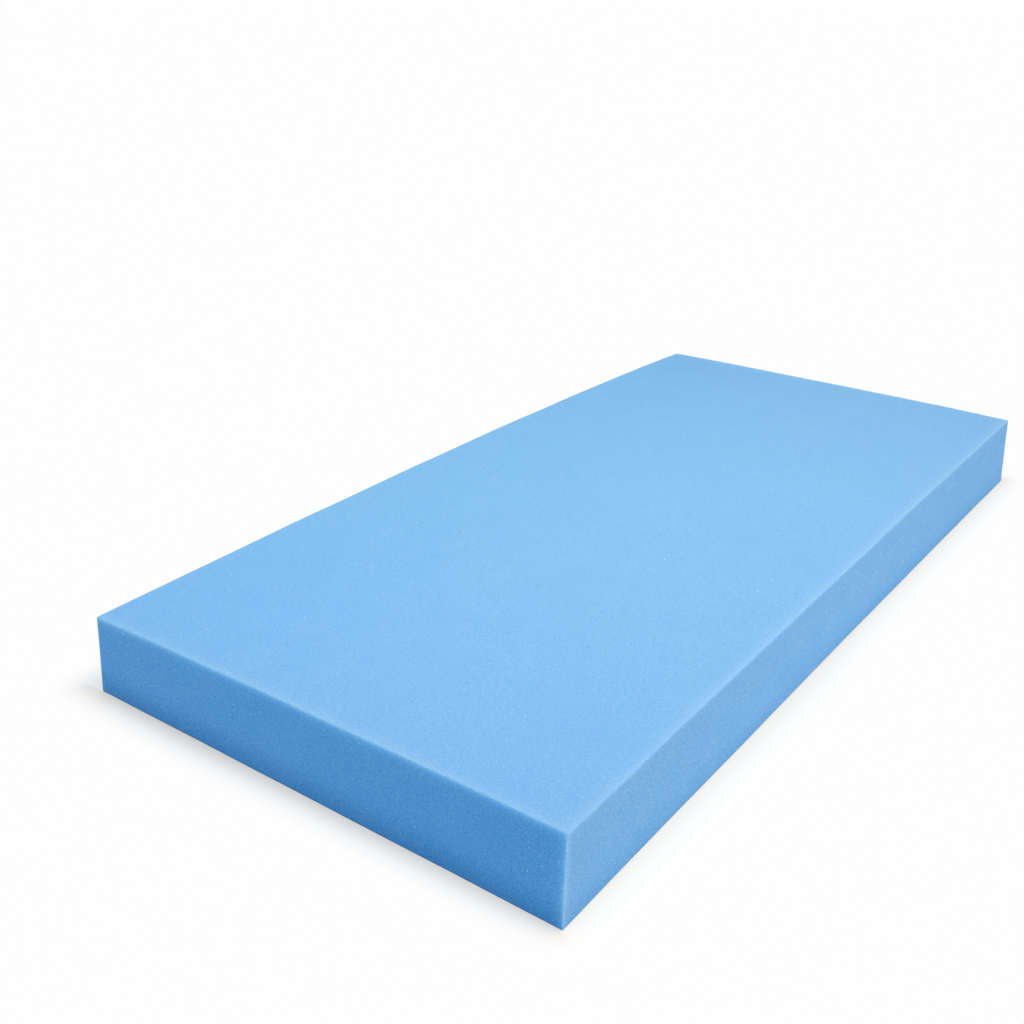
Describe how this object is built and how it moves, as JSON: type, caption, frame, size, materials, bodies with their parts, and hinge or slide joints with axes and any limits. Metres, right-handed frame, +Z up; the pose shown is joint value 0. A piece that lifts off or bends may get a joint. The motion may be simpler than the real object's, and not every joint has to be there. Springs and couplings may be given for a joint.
{
  "type": "upholstery foam sheet",
  "caption": "Thick rectangular slab of soft open-cell foam with flat cut faces and slightly eased edges, ready to be cut or glued as padding.",
  "frame": {"origin": "on the surface that the sheet lies on, under the middle of its outer box", "axes": "+X along the sheet's length, +Y across its width towards the side that swells slightly, +Z up through its thickness"},
  "size_m": [1.3, 0.6199, 0.1],
  "materials": {
    "foam": "sky-blue open-cell polyurethane foam, matt and finely porous as wire-cut, with paler edges where light passes through"
  },
  "bodies": {
    "root": {"foam_sheet": "foam"}
  },
  "joints": []
}
